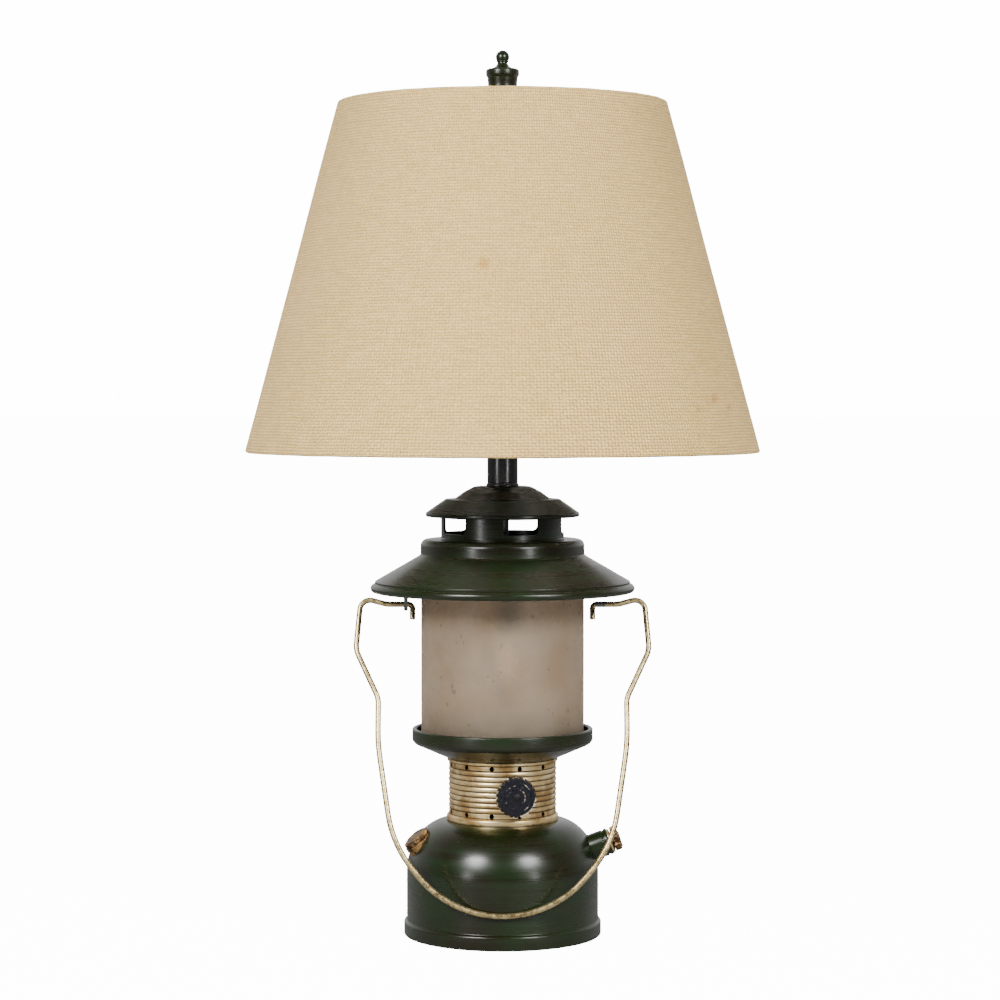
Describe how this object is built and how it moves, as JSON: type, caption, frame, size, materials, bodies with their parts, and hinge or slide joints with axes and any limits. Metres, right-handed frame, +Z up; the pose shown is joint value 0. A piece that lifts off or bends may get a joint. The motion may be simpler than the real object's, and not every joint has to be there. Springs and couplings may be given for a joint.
{
  "type": "table lamp",
  "caption": "Electric table lamp shaped like a camp lantern: enamelled tank, ribbed collar with a turning knob, frosted globe, hood, swinging wire bail and a cloth empire shade.",
  "frame": {"origin": "centre of the base at the table, on the lamp's axis", "axes": "+Z up along the lamp's axis, -Y to the front where the control knob and bail are, +X to the right where the pump knob is"},
  "size_m": [0.4064, 0.4062, 0.698],
  "materials": {
    "felt": "dark felt",
    "zinc_steel": "plated",
    "cast_iron": "raw",
    "green_enamel": "gloss enamel with a brown antique glaze",
    "black_plastic": "matte",
    "aged_bronze": "aged",
    "aged_brass": "aged, dark in the grooves",
    "worn_black": "satin, worn to pale metal at the edges",
    "gasket": "matte",
    "frosted_glass": "frosted, warm grey",
    "antique_wire": "satin cream brass, dark wash",
    "bulb_white": "frosted white",
    "satin_black": "satin",
    "brass": "satin",
    "paper_tube": "matte",
    "nickel": "satin",
    "shade_liner_sheet": "satin",
    "burlap": "open plain weave"
  },
  "bodies": {
    "lamp_body": {"felt_pad": "felt", "base_plate": "zinc_steel", "ballast_weight": "cast_iron", "base_washer": "zinc_steel", "base_nut": "zinc_steel", "center_rod": "zinc_steel", "tank_shell": "green_enamel", "cord_bushing": "black_plastic", "filler_neck": "aged_bronze", "filler_cap": "aged_bronze", "pump_boss": "green_enamel", "pump_gland": "aged_brass", "burner_collar": "aged_brass", "switch_body": "black_plastic", "switch_bushing": "zinc_steel", "switch_nut": "zinc_steel", "globe_tray": "green_enamel", "globe_gasket": "gasket", "glass_globe": "frosted_glass", "top_gasket": "gasket", "globe_seat": "zinc_steel", "hood": "green_enamel", "left_bail_ear": "zinc_steel", "right_bail_ear": "zinc_steel", "ear_rivets": "zinc_steel", "night_light_bracket": "zinc_steel", "night_light_socket": "black_plastic", "night_light_bulb": "bulb_white", "vent_drum": "green_enamel", "vent_cap": "green_enamel", "neck_foot": "satin_black", "neck_tube": "satin_black", "harp_saddle": "brass", "harp": "brass", "socket_cap": "brass", "socket_body": "black_plastic", "socket_screw_shell": "brass", "socket_liner": "paper_tube", "socket_shell": "brass", "bulb_base": "nickel", "bulb_glass": "bulb_white"},
    "bail": {"bail_handle": "antique_wire"},
    "control_knob": {"control_knob": "worn_black", "knob_rivet": "aged_bronze", "switch_shaft": "zinc_steel"},
    "pump_knob": {"pump_knob": "aged_brass", "pump_shaft": "aged_brass"},
    "shade": {"shade_spider": "brass", "shade_bottom_ring": "brass", "shade_liner": "shade_liner_sheet", "shade_cover": "burlap"},
    "finial": {"finial": "green_enamel"},
    "left_ferrule": {"left_harp_ferrule": "brass"},
    "right_ferrule": {"right_harp_ferrule": "brass"}
  },
  "joints": [
    {"name": "bail_swing", "type": "hinge", "parent": "lamp_body", "child": "bail", "pos_m": [0, 0, 0.262], "axis": [-1, 0, 0], "range_deg": [0, 95]},
    {"name": "control_knob_turn", "type": "hinge", "parent": "lamp_body", "child": "control_knob", "pos_m": [0.00954, -0.04908, 0.1163], "axis": [0.1908, -0.9816, 0], "continuous": true},
    {"name": "pump_knob_turn", "type": "hinge", "parent": "lamp_body", "child": "pump_knob", "pos_m": [0.07164, -0.00627, 0.06998], "axis": [0.93, -0.0814, 0.3584], "continuous": true},
    {"name": "shade_swivel", "type": "hinge", "parent": "lamp_body", "child": "shade", "pos_m": [0, 0, 0.6451], "axis": [0, 0, 1], "continuous": true},
    {"name": "finial_turn", "type": "hinge", "parent": "lamp_body", "child": "finial", "pos_m": [0, 0, 0.66], "axis": [0, 0, 1], "continuous": true},
    {"name": "left_ferrule_slide", "type": "slide", "parent": "lamp_body", "child": "left_ferrule", "axis": [0, 0, 1], "range_m": [0, 0.02]},
    {"name": "right_ferrule_slide", "type": "slide", "parent": "lamp_body", "child": "right_ferrule", "axis": [0, 0, 1], "range_m": [0, 0.02]}
  ]
}
